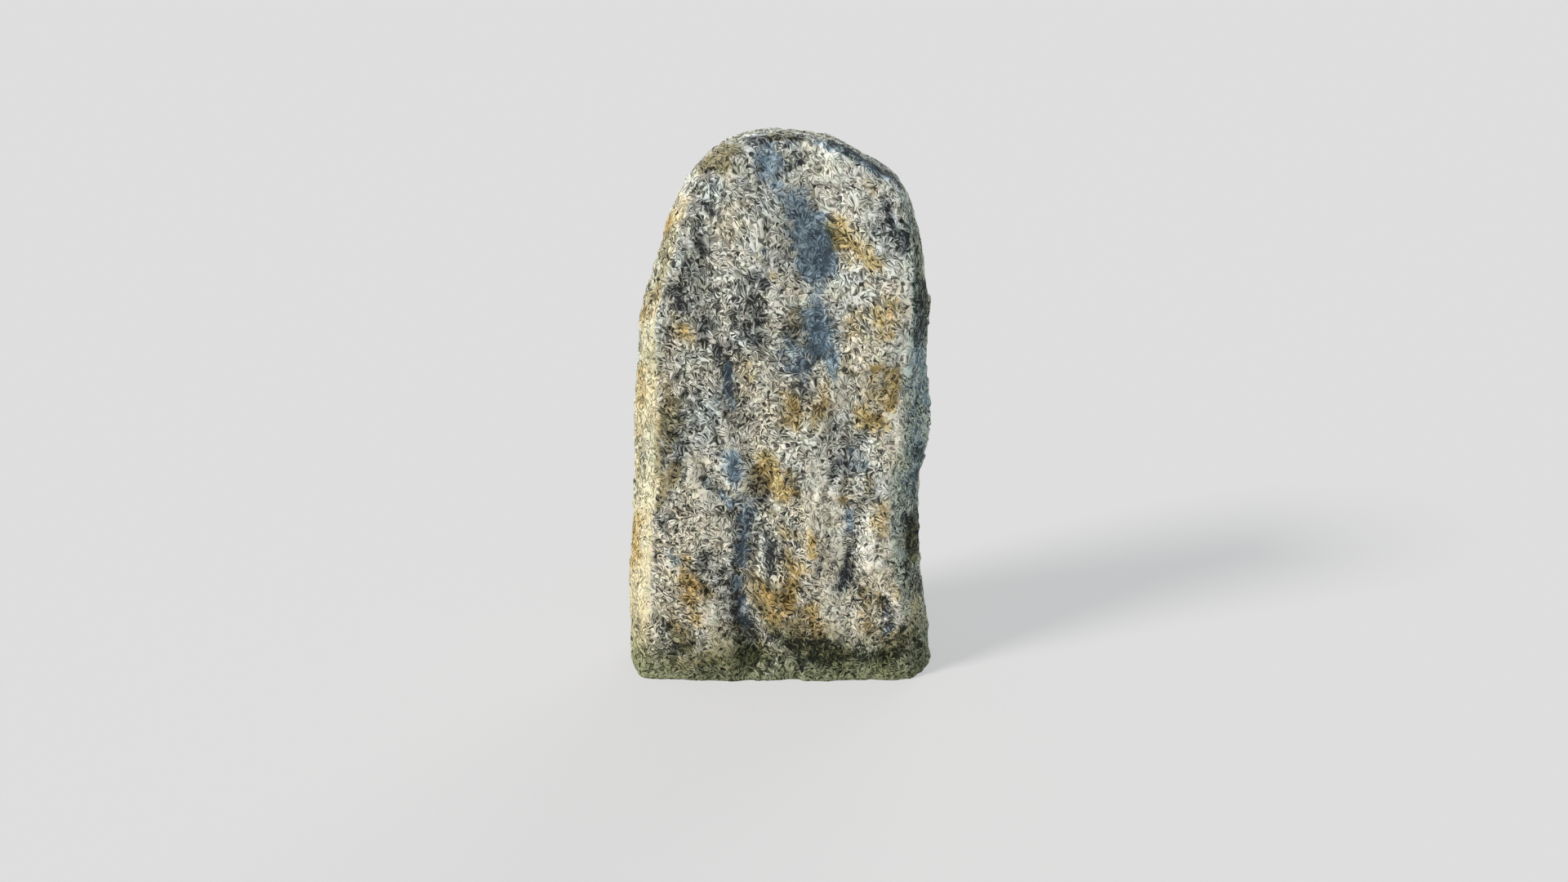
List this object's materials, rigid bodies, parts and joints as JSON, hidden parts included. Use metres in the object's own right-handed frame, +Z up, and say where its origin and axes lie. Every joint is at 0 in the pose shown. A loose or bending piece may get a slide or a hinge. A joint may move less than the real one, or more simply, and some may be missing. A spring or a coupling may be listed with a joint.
{
  "type": "headstone",
  "caption": "Weathered round-topped slab of stone that stands upright on its flat cut foot, fluted by rain and grown with lichen",
  "frame": {"origin": "middle of the flat foot, at ground level", "axes": "+Z up to the round top, -Y out of the worn front face, +X to the right of someone who faces the front"},
  "size_m": [0.6228, 0.2274, 1.0518],
  "materials": {
    "lichened_stone": "matte"
  },
  "bodies": {
    "root": {"headstone": "lichened_stone"}
  },
  "joints": []
}
